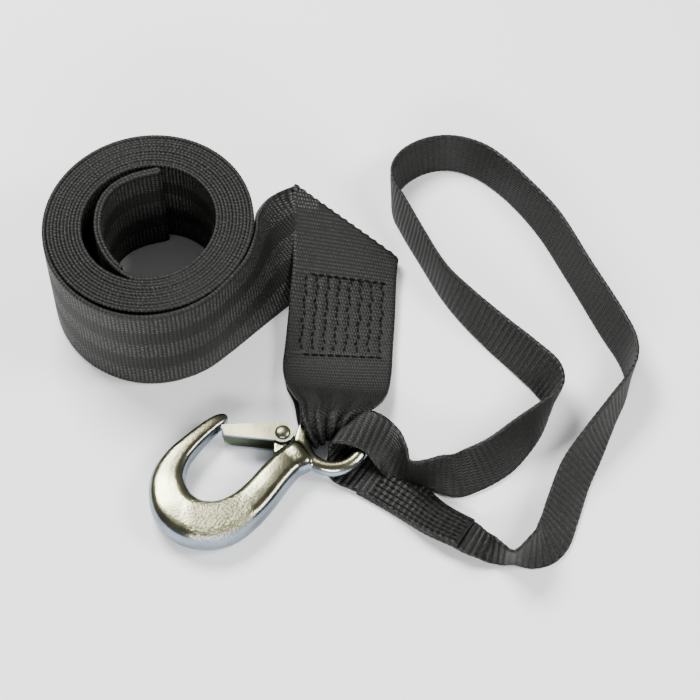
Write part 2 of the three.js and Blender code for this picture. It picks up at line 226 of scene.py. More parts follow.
def webbing_material(name, dark, bright, width, rib, striped_to):
    """Woven polyester: ribs across and fine yarns, with a painted highlight along both edges, painted
    highlights on the rib crests and painted shade in the grooves between the ribs. It has speckled
    stripes up to that length along it, and none where the length is 0; they are the real striped
    weave brightened with painted sheen."""
    material, tree, shader = new_material(name)
    cloth_map = tree.nodes.new("ShaderNodeUVMap")
    cloth_map.uv_map = "cloth"
    scaled = tree.nodes.new("ShaderNodeVectorMath")
    scaled.operation = "SCALE"
    scaled.inputs["Scale"].default_value = 1000
    tree.links.new(cloth_map.outputs["UV"], scaled.inputs[0])
    parts = tree.nodes.new("ShaderNodeSeparateXYZ")
    tree.links.new(scaled.outputs[0], parts.inputs[0])
    along, across = parts.outputs["X"], parts.outputs["Y"]

    ribs = calc(tree, "COSINE", calc(tree, "MULTIPLY", along, 2 * math.pi / rib))
    yarns = calc(tree, "SINE", calc(tree, "MULTIPLY", across, 2 * math.pi / YARN_PITCH))
    picks = calc(tree, "SINE", calc(tree, "MULTIPLY", along, math.pi / rib))
    checker = calc(tree, "MULTIPLY", yarns, picks)
    grains = noise(tree, scaled.outputs[0], 1.1, 2)
    worn = noise(tree, scaled.outputs[0], 0.05, 3)

    from_edge = calc(tree, "MINIMUM", across, calc(tree, "SUBTRACT", width, across))
    selvage = between(tree, from_edge, 1.0, 0.25)
    # Stripes: the real striped weave, brightened with painted sheen and painted only up to the fold.
    if striped_to:
        ribs = calc(tree, "MULTIPLY", ribs, -1)
        step = calc(tree, "WRAP", calc(tree, "SUBTRACT", across, STRIPE_MIDDLE), -STRIPE_HALF_PITCH,
                    STRIPE_HALF_PITCH)
        stripe = between(tree, calc(tree, "ABSOLUTE", step), 5.2, 4.4)
        striped = between(tree, along, striped_to, striped_to + 1, 1, 0)
        stripe = calc(tree, "MULTIPLY", calc(tree, "SUBTRACT", stripe, 0.18), striped)
        stripe = calc(tree, "ADD", stripe, 0.26)
    else:
        stripe = between(tree, worn, 0.35, 0.7, 0.1, 0.32)
    speckle = between(tree, calc(tree, "ADD", grains, calc(tree, "MULTIPLY", checker, 0.16)), 0.47, 0.68)
    # Painted highlight: the bright share is cut to 0.12 in the grooves and kept full on the rib crests.
    ridge = between(tree, ribs, -0.8, 0.7, 0.12, 1)
    bright_share = calc(tree, "MULTIPLY", calc(tree, "MULTIPLY", stripe, speckle), ridge)
    # Painted highlight along both edges of the webbing, which lights up the turns' edges on top of the
    # coil.
    edge_highlight = calc(tree, "MULTIPLY", selvage, between(tree, grains, 0.45, 0.66, 0.02, 0.4))
    share = calc(tree, "MAXIMUM", bright_share, edge_highlight)
    colour = mixed(tree, share, dark, bright)
    # Painted shade: the colour is darkened to a quarter in the grooves between the ribs.
    groove_shade = between(tree, ribs, -1, -0.1, 0.25, 1)
    shaded = tree.nodes.new("ShaderNodeVectorMath")
    shaded.operation = "SCALE"
    tree.links.new(colour, shaded.inputs[0])
    tree.links.new(groove_shade, shaded.inputs["Scale"])
    colour = shaded.outputs[0]
    tree.links.new(colour, shader.inputs["Base Color"])

    height = calc(tree, "MULTIPLY_ADD", ribs, 0.5, calc(tree, "MULTIPLY", checker, 0.35))
    height = calc(tree, "MULTIPLY_ADD", grains, 0.7, height)
    bumped(tree, shader, height, 0.9, 0.0003)
    feed(tree, shader.inputs["Roughness"], between(tree, share, 0.0, 0.8, 0.5, 0.3))
    shader.inputs["Specular IOR Level"].default_value = 0.26
    return material


def thread_material(colours):
    material, tree, shader = new_material("sewing thread")
    place = tree.nodes.new("ShaderNodeTexCoord").outputs["Object"]
    fibres = noise(tree, place, 2600, 2)
    tone = mixed(tree, between(tree, fibres, 0.4, 0.7), tuple(colours.thread), tuple(colours.web_dark))
    tree.links.new(tone, shader.inputs["Base Color"])
    bumped(tree, shader, fibres, 0.5, 0.0001)
    shader.inputs["Roughness"].default_value = 0.75
    shader.inputs["Specular IOR Level"].default_value = 0.12
    return material


# The rough patch is on top of the bowl
ROUGH_PATCH = (36, -136.5, 13)


def zinc_material(name, colours, roughness):
    """Bright zinc plating over a forging, rough in patches. Yellowish on top and bluish on its sides: the
    plating's real tint mixed with painted reflection, set by which way each face points.
    """
    material, tree, shader = new_material(name)
    place = tree.nodes.new("ShaderNodeTexCoord").outputs["Object"]
    facing = tree.nodes.new("ShaderNodeNewGeometry").outputs["Normal"]
    parts = tree.nodes.new("ShaderNodeSeparateXYZ")
    tree.links.new(facing, parts.inputs[0])
    clouds = noise(tree, place, 55, 4)
    pits = noise(tree, place, 900, 3)
    # Painted reflection: faces that point up take the yellowish colour and faces that point sideways the
    # bluish one, mixed with random clouds of the plating's real tint.
    lift = calc(tree, "MULTIPLY_ADD", clouds, 0.35, parts.outputs["Z"])
    tint_and_reflection = between(tree, lift, 0.62, 1.08)
    plating_and_reflection = mixed(tree, tint_and_reflection, tuple(colours.zinc_side), tuple(colours.zinc_top))
    darker = mixed(tree, between(tree, clouds, 0.32, 0.66), (0.5, 0.5, 0.5, 1), (1, 1, 1, 1))
    worn = tree.nodes.new("ShaderNodeMix")
    worn.data_type = "RGBA"
    worn.blend_type = "MULTIPLY"
    worn.inputs["Factor"].default_value = 1
    feed(tree, worn.inputs[6], plating_and_reflection)
    feed(tree, worn.inputs[7], darker)
    tree.links.new(worn.outputs[2], shader.inputs["Base Color"])
    middle = tree.nodes.new("ShaderNodeVectorMath")
    middle.operation = "DISTANCE"
    tree.links.new(place, middle.inputs[0])
    middle.inputs[1].default_value = tuple(placed(ROUGH_PATCH))
    apart = calc(tree, "MULTIPLY_ADD", clouds, -0.012, middle.outputs["Value"])
    patch = between(tree, apart, 0.012, 0.004)
    rough = calc(tree, "MULTIPLY_ADD", patch, 0.16, calc(tree, "MULTIPLY_ADD", clouds, 0.1, roughness))
    feed(tree, shader.inputs["Roughness"], calc(tree, "MULTIPLY_ADD", pits, 0.08, rough))
    shader.inputs["Metallic"].default_value = 1.0
    pitted = calc(tree, "MULTIPLY", pits, calc(tree, "MULTIPLY_ADD", patch, 2.2, 0.2))
    bumped(tree, shader, pitted, 0.6, 0.0004)
    return material


def floor_material(colours):
    material, tree, shader = new_material("pale floor")
    shader.inputs["Base Color"].default_value = tuple(colours.floor)
    shader.inputs["Roughness"].default_value = 0.9
    shader.inputs["Specular IOR Level"].default_value = 0.1
    return material


# Stations of a strap: its middle, the unit vector from its low edge to its high edge, its share
# of the full width and how far the middle of its width bows to the left of its heading. Lean is 0
# where the strap lies flat with its high edge to the right, 90 upright and 180 flat to the left.

def station(x, y, z, heading, lean, share=1.0, sag=0.0):
    turned, raised = math.radians(heading), math.radians(lean)
    level = math.cos(raised)
    across = (level * math.sin(turned), -level * math.cos(turned), math.sin(raised))
    return [x, y, z, *across, share, sag]


def edge_station(width, thickness, x, y, lift, heading, lean, share=1.0, sag=0.0):
    """A station given by its low edge, which stands that lift above the floor."""
    row = station(x, y, 0, heading, lean, share, sag)
    rise = lift + thickness / 2 * abs(math.cos(math.radians(lean)))
    half = width * share / 2
    row[0] += row[3] * half
    row[1] += row[4] * half
    row[2] = rise + row[5] * half
    return row


def carried(stations, spacing=0.5):
    """Rows carried smoothly through the stations, each slope taken from its neighbours."""
    rows = np.asarray(stations, float)
    steps = np.linalg.norm(np.diff(rows[:, :3], axis=0), axis=1)
    knots = np.concatenate([[0], np.cumsum(np.sqrt(steps))])
    at = np.linspace(0, knots[-1], int(steps.sum() / spacing) + 2)
    slopes = np.gradient(rows, knots, axis=0)
    i = np.clip(np.searchsorted(knots, at, side="right") - 1, 0, len(knots) - 2)
    gap = (knots[i + 1] - knots[i])[:, None]
    t = (at - knots[i])[:, None] / gap
    start, end = rows[i], rows[i + 1]
    leave, arrive = slopes[i] * gap, slopes[i + 1] * gap
    return ((1 + 2 * t) * (1 - t) ** 2 * start + t * (1 - t) ** 2 * leave
            + t * t * (3 - 2 * t) * end + t * t * (t - 1) * arrive)


def eased(values):
    """Shares held between 0 and 1, with a soft start and end."""
    values = np.clip(values, 0, 1)
    return values * values * (3 - 2 * values)


# Main webbing's route

COIL_SIDE = 0.953
COIL_DEPTH = 1.047


def on_coil(angle, radius):
    a = np.radians(angle)
    return radius * COIL_SIDE * np.cos(a), radius * COIL_DEPTH * np.sin(a)


FREE_END_SHORTER = 12


def winch_end_rows(sizes):
    """Free end, nose and second layer of the webbing doubled back inside the bore. The free end
    stops that many rows short of where the second layer meets the winding."""
    half_gap = 0.85
    inside = sizes.bore_radius - 0.8
    points = [on_coil(-102, inside), (-16, -22), (-22.5, -8), (-23.8, 4), (-22, 14), (-17.5, 21.5),
              (-10, 27), on_coil(86, inside - 1.6)]
    middle = carried([station(x, y, UPRIGHT_MIDDLE, 0, 90) for x, y in points])
    heading = np.gradient(middle[:, :2], axis=0)
    heading /= np.linalg.norm(heading, axis=1)[:, None]
    right = np.stack([heading[:, 1], -heading[:, 0]], axis=1)
    inner, outer = middle.copy(), middle.copy()
    inner[:, :2] += half_gap * right
    outer[:, :2] -= half_gap * right
    turn = np.linspace(0, math.pi, 9)[1:-1, None]
    nose = np.repeat(middle[-1:], len(turn), axis=0)
    nose[:, :2] += half_gap * (right[-1] * np.cos(turn) + heading[-1] * np.sin(turn))
    return np.vstack([inner[FREE_END_SHORTER:], nose]), outer[::-1]


# The winding runs from the doubled winch end to the start of the lead, eleven turns and a little
# more, and its outer turn keeps inside a limit.
WIND_START = 258
WIND_END = 4250
OUTER_LIMIT = 50.4
COIL_MIDDLE = 25.35
UPRIGHT_MIDDLE = 25.2


def wound_radius(sizes, angle):
    """Radius of the wound webbing: its last turn stands off at the front."""
    radius = sizes.bore_radius + sizes.turn_pitch * (angle - WIND_START) / 360
    last_turn = angle - 11 * 360
    stand_off = np.interp(last_turn, [150, 200, 220, 240, 254, 268, 285, 300, 312],
                          [0, 0.25, 0.7, 1.3, 1.8, 2.1, 1.9, 1.4, 0.8])
    return np.minimum(radius, OUTER_LIMIT) + stand_off


def winding_rows(sizes):
    angle = np.arange(WIND_START, WIND_END, 0.7)
    x, y = on_coil(angle, wound_radius(sizes, angle))
    rows = np.zeros((len(angle), 8))
    rows[:, 0], rows[:, 1] = x, y
    turn = np.radians(angle)
    rows[:, 2] = COIL_MIDDLE + 0.2 * np.sin(0.37 * turn) + 0.12 * np.sin(1.13 * turn + 1)
    rows[:, 5] = 1
    rows[:, 6] = 1
    return rows


FOLD = np.array([88.6, 27.2, 16.3])
FOLD_RADIUS = 1.1
FOLD_ACROSS = np.array([-0.81, 0.423, 0.407])
FOLD_HEADING = np.array([0.463, 0.886, 0.0])
FOLD_SHARE = 1.2


def fold_rows():
    """Once round the diagonal fold, about its line."""
    sheet_normal = np.cross(FOLD_HEADING, FOLD_ACROSS)
    sheet_normal /= np.linalg.norm(sheet_normal)
    turn = np.linspace(0, math.pi, 13)[:, None]
    rows = np.zeros((len(turn), 8))
    rows[:, :3] = FOLD + FOLD_RADIUS * (FOLD_HEADING * np.sin(turn) - sheet_normal * np.cos(turn))
    rows[:, 3:6] = FOLD_ACROSS
    rows[:, 6] = FOLD_SHARE
    return rows


def lead_rows(sizes, fold):
    size = (sizes.web_width, sizes.web_thickness)
    leaving = [on_coil(a, wound_radius(sizes, a + 12 * 360)) for a in (-66, -58, -48)]
    stations = [station(x, y, UPRIGHT_MIDDLE, 0, 90) for x, y in leaving]
    stations += [
        edge_station(*size, 51, -21, 0, 87, 97, 1, 1),
        edge_station(*size, 64, -8.5, 0, 74, 109, 1, 3),
        edge_station(*size, 75, 1, 0, 67, 125, 1, 3),
        edge_station(*size, 88, 7.5, 0.2, 61, 139.5, 1.05, 2),
        edge_station(*size, 101, 11, 1, 60, 150, 1.13, 1),
        list(fold[0]),
    ]
    return carried(stations)


BUNDLE_ANGLE = 121


def eye_point(out, rise):
    """A point over the eye's middle level, on the line that the gathered webbing takes into the eye."""
    a = math.radians(BUNDLE_ANGLE)
    return EYE[0] + out * math.cos(a), EYE[1] + out * math.sin(a), EYE[2] + rise


def sewn_rows(sizes, fold):
    """From the fold over the eye's wire, down through the eye and back underneath."""
    inward = BUNDLE_ANGLE + 180
    out = sizes.eye_radius
    top = sizes.eye_wire + 2.3
    upper = [
        list(fold[-1]),
        station(89.2, 16, 13.2, 260, 17, 1.06),
        station(88.8, 3, 9.6, 266, 12),
        station(88, -10, 7, 268, 7),
        station(87.2, -24, 4.9, 268, 3),
        station(86.2, -38, 3.9, 267, 1),
        station(85.4, -51, 4.1, 266, 0),
        station(85.4, -62, 6.2, 264, 0, 0.93),
        station(85.3, -70, 9.6, 264, 0, 0.8),
        station(84.2, -77, 12.4, 266, 0, 0.62),
        station(82, -82.6, EYE[2] + top + 0.9, 276, 0, 0.48),
        station(81.3, -87.2, EYE[2] + top - 1.4, 288, 0, 0.36),
        station(*eye_point(out - 7.4, 0), inward, 0, 0.27),
        station(*eye_point(out - 5.4, -4.3), inward, 0, 0.26),
        station(*eye_point(out - 0.5, -5.3), inward, 0, 0.3),
        station(78.5, -73, 1.1, 255, 0, 0.5),
        station(83.5, -62, 0.9, 262, 0, 0.85),
        station(85.4, -51, 2.2, 266, 0, 0.98),
        station(86.2, -38, 2.1, 267, 1, 0.98),
        station(87.2, -24, 3.2, 268, 3, 0.98),
        station(88, -10, 5.4, 268, 7, 0.98),
        station(88.6, 0, 7.3, 266, 11, 0.98),
    ]
    return carried(upper)


class Cloth:
    """A strap's surface, read at any length along it and place across it, both in millimetres.

    It folds into pleats where it is drawn in. Its columns' lengths are made equal at level_row,
    little by little over the rows before the fold that level_from gives. Where even is set, they
    are all taken from its middle.
    """

    def __init__(self, rows, width, columns, pleats=0.0, level_row=None, level_from=None, even=False):
        middle, across = rows[:, :3], rows[:, 3:6].copy()
        across /= np.linalg.norm(across, axis=1)[:, None]
        normal = np.cross(np.gradient(middle, axis=0), across)
        normal /= np.linalg.norm(normal, axis=1)[:, None]
        self.width = width
        self.places = np.linspace(0, 1, columns)
        side = self.places - 0.5
        share, sag = rows[:, 6:7], rows[:, 7:8]
        bow = -sag * (1 - 4 * side ** 2)
        drawn_in = eased((1 - share) / 0.75)
        waves = np.sin(side * 2 * math.pi * 3.5 + 0.6) + 0.35 * np.sin(side * 2 * math.pi * 8.2)
        bow = bow + pleats * drawn_in * waves
        points = middle[:, None] + across[:, None] * (side[None, :, None] * width * share[:, :, None])
        points += normal[:, None] * bow[:, :, None]
        points[:, :, 2] = np.maximum(points[:, :, 2], 0.8 * np.abs(normal[:, 2:3]) + 0.05)
        steps = np.linalg.norm(np.diff(points, axis=0), axis=2)
        length = np.vstack([np.zeros(columns), np.cumsum(steps, axis=0)])
        if level_row is not None:
            settled = length[level_row, columns // 2] - length[level_row]
            fold_row, before = level_from
            along = (np.arange(len(rows)) - (fold_row - before)) / before
            length += eased(along)[:, None] * settled
        if even:
            length = np.repeat(length[:, columns // 2, None], columns, axis=1)
        length = np.maximum.accumulate(length, axis=0)
        self.points, self.normals, self.length = points, normal, length
        self.start = float(length[0].max())
        self.end = float(length[-1].min())

    def read(self, targets):
        """Points and normals of the whole width at each length asked for."""
        shape = (len(targets), len(self.places), 3)
        points, normals = np.zeros(shape), np.zeros(shape)
        for j in range(shape[1]):
            for k in range(3):
                points[:, j, k] = np.interp(targets, self.length[:, j], self.points[:, j, k])
                normals[:, j, k] = np.interp(targets, self.length[:, j], self.normals[:, k])
        normals /= np.linalg.norm(normals, axis=2)[:, :, None]
        return points, normals

    def at(self, along, across):
        """One point, the unit vectors along and across, and the normal there."""
        points, normals = self.read(np.array([along - 0.6, along, along + 0.6]))
        column = across / self.width * (len(self.places) - 1)
        i = int(min(max(column, 0), len(self.places) - 2))
        t = column - i
        line = points[:, i] * (1 - t) + points[:, i + 1] * t
        ahead = line[2] - line[0]
        ahead /= np.linalg.norm(ahead)
        normal = normals[1, i]
        normal = normal - ahead * (normal @ ahead)
        normal /= np.linalg.norm(normal)
        return line[1], ahead, np.cross(normal, ahead), normal


def finish_piece(mesh, material):
    """A smooth shaded object for the mesh, with its material."""
    piece = bpy.data.objects.new(mesh.name, mesh)
    bpy.context.scene.collection.objects.link(piece)
    mesh.materials.append(material)
    mesh.polygons.foreach_set("use_smooth", [True] * len(mesh.polygons))
    mesh.update()
    return piece


def cloth_piece(name, cloth, targets, relief, thickness, material):
    """A grid laid over the cloth's surface, with its relief, its map and its thickness."""
    targets = np.asarray(targets)
    rows, columns = len(targets), len(cloth.places)
    bm = bmesh.new()
    bmesh.ops.create_grid(bm, x_segments=rows - 1, y_segments=columns - 1, size=0.5)
    mesh = bpy.data.meshes.new(name)
    bm.to_mesh(mesh)
    bm.free()
    plan = np.zeros(len(mesh.vertices) * 3, np.float32)
    mesh.vertices.foreach_get("co", plan)
    plan = plan.reshape(-1, 3)
    i = np.rint((plan[:, 0] + 0.5) * (rows - 1)).astype(int)
    j = np.rint((plan[:, 1] + 0.5) * (columns - 1)).astype(int)
    points, normals = cloth.read(targets)
    across = np.repeat(cloth.places[None, :] * cloth.width, rows, axis=0)
    points = points + normals * relief(targets[:, None], across)[:, :, None]
    mesh.vertices.foreach_set("co", placed(points[i, j]).astype(np.float32).ravel())
    corners = np.zeros(len(mesh.loops), int)
    mesh.loops.foreach_get("vertex_index", corners)
    cloth_map = mesh.uv_layers.new(name="cloth")
    flat = np.stack([targets[i[corners]], across[i[corners], j[corners]]], axis=1) * 0.001
    cloth_map.data.foreach_set("uv", flat.astype(np.float32).ravel())
    piece = finish_piece(mesh, material)
    solid = piece.modifiers.new("Thickness", "SOLIDIFY")
    solid.thickness = thickness * 0.001
    solid.offset = 0
    return piece


def stitched_piece(name, stitches, sizes, material):
    """Small rounded stitches, each laid along its own line of sewing."""
    bm = bmesh.new()
    half = Vector((sizes.stitch_length / 2, sizes.stitch_thickness / 2, sizes.stitch_thickness * 0.4))
    for point, ahead, aside, up in stitches:
        turned = Matrix((ahead, aside, up)).transposed().to_4x4()
        made = bmesh.ops.create_uvsphere(bm, u_segments=6, v_segments=4, radius=1)
        spot = Matrix.Translation(Vector(point)) @ turned @ Matrix.Diagonal((*half, 1))
        bmesh.ops.transform(bm, matrix=spot, verts=made["verts"])
    mesh = bpy.data.meshes.new(name)
    bm.to_mesh(mesh)
    bm.free()
    for vertex in mesh.vertices:
        vertex.co = placed(vertex.co)
    return finish_piece(mesh, material)


# Box stitch on the flat end: its first and last rows by their place along Y, and its lines by
# their place across the webbing. Lines and rows of stitches pull dents into the webbing.
BOX_TOP_Y = -0.5
BOX_LOW_Y = -42.5
BOX_LINES = 8
BOX_FIRST = 6.5
BOX_PITCH = 5.2
LINE_DENT = 0.8
ROW_DENT = 0.6
WEB_SLACK = 0.25
WEB_COLUMNS = 29
EVENED_ROWS = 70


def web_cloth(sizes):
    """The whole webbing, with the numbers that say where its parts begin."""
    inner, outer = winch_end_rows(sizes)
    winding = winding_rows(sizes)
    fold = fold_rows()
    lead = lead_rows(sizes, fold)[:-1]
    sewn = sewn_rows(sizes, fold)[1:]
    parts = [inner, outer, winding, lead, fold, sewn]
    ends = np.cumsum([len(p) for p in parts])
    rows = np.vstack(parts)
    fold_row = ends[3]
    level_row = ends[4] + int(np.argmin(np.abs(sewn[:150, 1] + 38)))
    cloth = Cloth(rows, sizes.web_width, WEB_COLUMNS, pleats=1.7, level_row=level_row,
                  level_from=(fold_row, EVENED_ROWS))
    column = WEB_COLUMNS // 2
    middle = cloth.length[:, column]
    cloth.marks = {
        "nose": middle[ends[0]],
        "wound": middle[ends[1]],
        "lead": middle[ends[2]],
        "fold": middle[ends[3]],
        "under": middle[ends[4] + int(np.argmin(sewn[:, 2]))],
    }
    flat_rows = slice(ends[4], ends[4] + 170)
    flat_y, flat_length = cloth.points[flat_rows, column, 1], middle[flat_rows]
    cloth.box = [float(np.interp(-y, -flat_y, flat_length)) for y in (BOX_TOP_Y, BOX_LOW_Y)]
    return cloth


FIRST_TURN_SEEN = 125
LAST_TURN = 325


def web_targets(sizes, cloth):
    """Half a rib from row to row where the webbing shows, and longer steps where it is hidden."""
    half = sizes.web_rib / 2
    marks = cloth.marks
    spans = [
        (marks["nose"], 1),
        (marks["wound"], 6),
        (marks["wound"] + FIRST_TURN_SEEN, 1),
        (marks["lead"] - LAST_TURN, 6),
        (marks["under"], 1),
        (cloth.end, 3),
    ]
    targets, count = [cloth.start], math.ceil(cloth.start / half)
    for end, step in spans:
        while count * half < end:
            targets.append(count * half)
            count += step
    return np.array(targets)


class STRAP_OT_webbing(bpy.types.Operator):
    """Main webbing: coil, winch end, lead, diagonal fold, sewn end and gathered loop"""
    bl_idname = "strap.webbing"
    bl_label = "Main webbing"

    def execute(self, context):
        sizes, colours = in_millimetres(context.scene.strap_sizes), context.scene.strap_colours
        cloth = web_cloth(sizes)
        targets = web_targets(sizes, cloth)
        fine = np.gradient(targets) < sizes.web_rib * 0.8
        ridge = np.rint(targets / (sizes.web_rib / 2)).astype(int) % 2 == 1
        parity = np.where(ridge, 1.0, -1.0) * fine
        box_start, box_end = cloth.box

        def relief(along, across):
            edge = np.minimum(across, sizes.web_width - across)
            ribs = parity[:, None] * sizes.web_rib_height * np.clip(0.35 + edge / 3, 0, 1)
            inside = eased((along - box_start + 1) / 2) * eased((box_end + 1 - along) / 2)
            line = (across - BOX_FIRST + BOX_PITCH / 2) % BOX_PITCH - BOX_PITCH / 2
            wander = 0.5 * np.sin(along / 1.6 + across)
            sewn = np.exp(-((line + wander) / 1.0) ** 2) * (edge > 2.5)
            ends = np.exp(-((along - box_start) / 0.9) ** 2) + np.exp(-((along - box_end) / 0.9) ** 2)
            ends = ends * (edge > 2.5)
            slack = WEB_SLACK * np.sin(along / 17 + across / 9) * np.sin(along / 31)
            loose = along > cloth.marks["lead"]
            return ribs + LINE_DENT * inside * sewn + ROW_DENT * ends + slack * loose

        material = webbing_material(
            "winch webbing", tuple(colours.web_dark), tuple(colours.web_bright), sizes.web_width,
            sizes.web_rib, cloth.marks["fold"])
        piece = cloth_piece("winch_webbing_cloth", cloth, targets, relief, sizes.web_thickness, material)
        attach(piece, "strap")
        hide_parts("winch_webbing")
        return {"FINISHED"}


class STRAP_OT_box_stitch(bpy.types.Operator):
    """Box stitch that holds the webbing's sewn end together"""
    bl_idname = "strap.box_stitch"
    bl_label = "Box stitch"

    def execute(self, context):
        sizes, colours = in_millimetres(context.scene.strap_sizes), context.scene.strap_colours
        cloth = web_cloth(sizes)
        box_start, box_end = cloth.box
        last = BOX_FIRST + BOX_PITCH * (BOX_LINES - 1)
        stitches = []
        lift = sizes.web_thickness / 2 - 0.1

        def add(along, across, turned):
            point, ahead, aside, up = cloth.at(along, across)
            aside, up = -aside, -up
            if turned:
                ahead, aside = aside, -ahead
            swing = 0.28 * math.sin(along / 1.6 + across)
            ahead = ahead * math.cos(swing) + aside * math.sin(swing)
            aside = np.cross(up, ahead)
            stitches.append((point + up * lift, ahead, aside, up))

        for line in range(BOX_LINES):
            across = BOX_FIRST + BOX_PITCH * line
            for along in np.arange(box_start + 2.4, box_end - 1.5, 3.6):
                add(along, across - 0.5 * math.sin(along / 1.6 + across), False)
        for along in (box_start, box_end):
            for across in np.arange(BOX_FIRST, last + 0.1, 3.7):
                add(along, across, True)
        material = thread_material(colours)
        piece = stitched_piece("box_stitches", stitches, sizes, material)
        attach(piece, "strap")
        return {"FINISHED"}


# Hand strap's route. The lap's rows give its middle line, heading, lean and width share.
LAP_ROWS = [
    (99.3, -106, 0.8, -32, 180, 1),
    (116.4, -117.7, 0.8, -32, 181, 1),
    (128.5, -129.5, 2.9, -30, 192, 0.94),
    (141.2, -137.7, 4.1, -28.5, 198, 0.94),
]


def lap_stations(raised):
    """The lap's stations, for the layer that is raised by so much over the lowest one."""
    stations = []
    for x, y, z, heading, lean, share in LAP_ROWS:
        row = station(x, y, z, heading, lean, share)
        h = math.radians(heading)
        up = np.cross((math.cos(h), math.sin(h), 0), row[3:6])
        up = up / np.linalg.norm(up) * (1 if up[2] > 0 else -1)
        row[:3] = list(np.array(row[:3]) + up * raised)
        stations.append(row)
    return stations


def hand_rows(sizes):
    size = (sizes.hand_width, sizes.hand_thickness)
    over = EYE[2] + sizes.eye_wire + 0.3 + sizes.hand_thickness

    def low(x, y, heading, lean, lift=0.0, share=1.0):
        return edge_station(*size, x, y, lift, heading, lean, share)

    stations = [
        *lap_stations(0),
        station(148.5, -143.5, 5.6, -25, 165, 0.6),
        station(154, -148, 7.6, -15, 104, 0.7),
        low(160.5, -149.5, -8, 76),
        low(171, -151.5, 10, 112),
        low(179, -149, 35, 130),
        low(185, -142.5, 55, 136),
        low(190, -130, 67, 136),
        low(196, -112, 68, 130),
        low(203, -96, 67, 118),
        low(211, -77, 67, 102),
        low(216.5, -64, 72, 92),
        low(218, -54, 92, 82),
        low(216, -44, 106, 74),
        low(209, -28, 113, 68),
        low(196, 3, 114, 68),
        low(184, 31, 119, 68),
        low(172.5, 50, 125, 72),
        low(164, 61, 134, 73),
        low(155, 69.5, 148, 72),
        low(146, 74, 166, 72),
        low(137, 75, 184, 72),
        low(128, 72.5, 206, 73),
        low(120, 67, 224, 76),
        low(114.5, 59.5, 245, 82),
        low(112.4, 52, 266, 90),
        low(113, 44, 281, 97),
        low(116.5, 35, 291, 98),
        low(124, 18, 294, 98),
        low(134, -4, 297, 100),
        low(143, -19, 303, 108),
        low(156, -37, 306, 120),
        low(167, -50, 309, 126),
        low(176, -61, 303, 126),
        low(181, -70, 272, 104),
        low(178.5, -80, 248, 82),
        low(172, -92, 236, 62),
        low(162, -104.5, 225, 45),
        low(149, -113, 207, 38),
        low(138, -116.5, 188, 50),
        low(128.5, -113, 163, 72),
        low(124, -111.5, 160, 84),
        low(117.5, -108.5, 153, 92, 0.8, 0.9),
        station(112.6, -103.2, 8, 140, 54, 0.9),
        station(107.5, -96, 10, 150, 18),
        station(101, -90, over, 158, 5),
        station(94, -87.5, over + 0.3, 158, 0),
        station(88.4, -88.4, over, 152, 0, 0.85),
        station(85.9, -90.6, EYE[2] + 3.6, 150, 0, 0.66),
        station(85.2, -93.4, EYE[2] - 0.6, 150, 0, 0.6),
        station(85.6, -97.4, 2.6, 145, 0, 0.8),
        station(89.6, -100.4, 1.8, -36, 180, 1),
        *lap_stations(1.35),
    ]
    return carried(stations)


def hand_cloth(sizes):
    return Cloth(hand_rows(sizes), sizes.hand_width, 13, pleats=0.6, even=True)


LAP_LENGTH = 50
LAP_DENT = 0.16
HAND_SLACK = 0.3


class STRAP_OT_hand_strap(bpy.types.Operator):
    """Hand strap: one closed loop of narrow webbing through the eye"""
    bl_idname = "strap.hand_strap"
    bl_label = "Hand strap"

    def execute(self, context):
        sizes, colours = in_millimetres(context.scene.strap_sizes), context.scene.strap_colours
        cloth = hand_cloth(sizes)
        targets = np.arange(cloth.start, cloth.end, sizes.hand_rib / 4)
        lap_start = cloth.end - LAP_LENGTH

        def relief(along, across):
            edge = np.minimum(across, sizes.hand_width - across)
            ribs = np.cos(along / sizes.hand_rib * 2 * math.pi) * np.clip(0.2 + edge / 2, 0, 1)
            lap = eased((along - lap_start) / 4)
            quilt = np.sin(across * 2 * math.pi / 2.5) * np.sin(along * 2 * math.pi / 2.6)
            slack = HAND_SLACK * np.sin(along / 13 + across / 5) * np.sin(along / 29)
            flattened = ribs * sizes.hand_rib_height * (1 - 0.6 * lap)
            return flattened + LAP_DENT * quilt * lap + slack * (1 - lap)

        material = webbing_material(
            "hand webbing", tuple(colours.web_dark), tuple(colours.web_bright), sizes.hand_width,
            sizes.hand_rib, 0)
        piece = cloth_piece("hand_strap_cloth", cloth, targets, relief, sizes.hand_thickness, material)
        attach(piece, "strap")
        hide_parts("hand_strap")

        stitches = []
        for row, across in enumerate(np.arange(2.2, sizes.hand_width - 1.5, 2.6)):
            for along in np.arange(lap_start + 3 + (row % 2) * 1.3, cloth.end - 2, 2.8):
                point, ahead, aside, up = cloth.at(along, across)
                if up[2] < 0:
                    up, aside = -up, -aside
                stitches.append((point + up * (sizes.hand_thickness / 2 + 0.05), ahead, aside, up))
        thread = stitched_piece("hand_strap_stitches", stitches, sizes, thread_material(colours))
        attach(thread, "strap")
        return {"FINISHED"}


# Hook: the bar's middle line from the tip to the eye, with half its width and half its thickness
HOOK_PATH = [
    (-47.6, 15.1, 0.5, 0.6),
    (-48.2, 14.6, 1.6, 1.8),
    (-50, 12.9, 2.9, 2.8),
    (-53.2, 10.2, 3.6, 3.5),
    (-57.2, 6.2, 4, 4),
    (-62.6, 0, 4.6, 4.6),
    (-68.6, -8.2, 5.8, 5.2),
    (-72, -17.6, 7.4, 6),
    (-71.6, -25.6, 8.8, 6.6),
    (-68.2, -34.2, 10, 7),
    (-61.2, -40.2, 10.6, 7),
    (-53.8, -41.8, 10.6, 7),
    (-46.2, -40.2, 10, 7),
    (-38.2, -34.4, 8.8, 6.8),
    (-31.4, -26.4, 8, 6.4),
    (-24.8, -16.8, 7.4, 6),
    (-19.4, -10.4, 7, 5.4),
    (-12.4, -5.4, 6, 4.2),
    (-11.2, -4.6, 1, 1),
]
